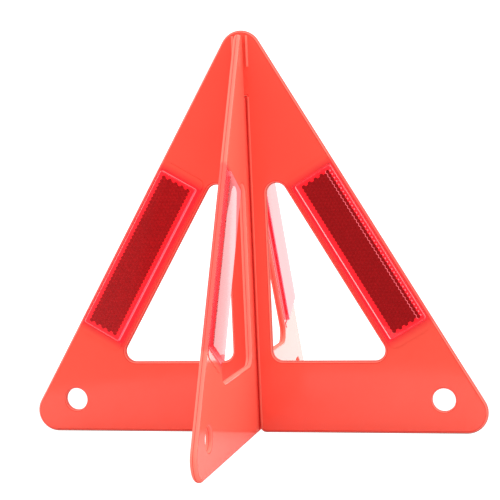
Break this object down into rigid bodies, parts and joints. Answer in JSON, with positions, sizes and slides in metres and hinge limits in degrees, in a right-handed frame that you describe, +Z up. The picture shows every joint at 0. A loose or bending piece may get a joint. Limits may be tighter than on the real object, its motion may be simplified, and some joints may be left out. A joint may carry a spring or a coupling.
{
  "type": "warning triangle",
  "caption": "Free-standing warning triangle of two slotted plastic panels that cross at a right angle, each with windows, corner holes and red prismatic reflectors.",
  "frame": {"origin": "on the ground, where the two panels cross", "axes": "+Z up; the main panel lies in XZ with its reflectors towards -Y, the cross panel lies in YZ with its reflectors towards +X"},
  "size_m": [0.2436, 0.2436, 0.2103],
  "materials": {
    "panel_plastic": "glossy injection-moulded orange-red polypropylene",
    "reflector_plastic": "clear red acrylic with moulded cube-corner prisms behind a smooth face"
  },
  "bodies": {
    "cross": {"cross_panel": "panel_plastic", "reflector_front": "reflector_plastic", "reflector_rear": "reflector_plastic"},
    "main": {"main_panel": "panel_plastic", "reflector_left": "reflector_plastic", "reflector_right": "reflector_plastic"}
  },
  "joints": [
    {"name": "panel_slide", "type": "slide", "parent": "cross", "child": "main", "axis": [0, 0, 1], "range_m": [0, 0.176]}
  ]
}
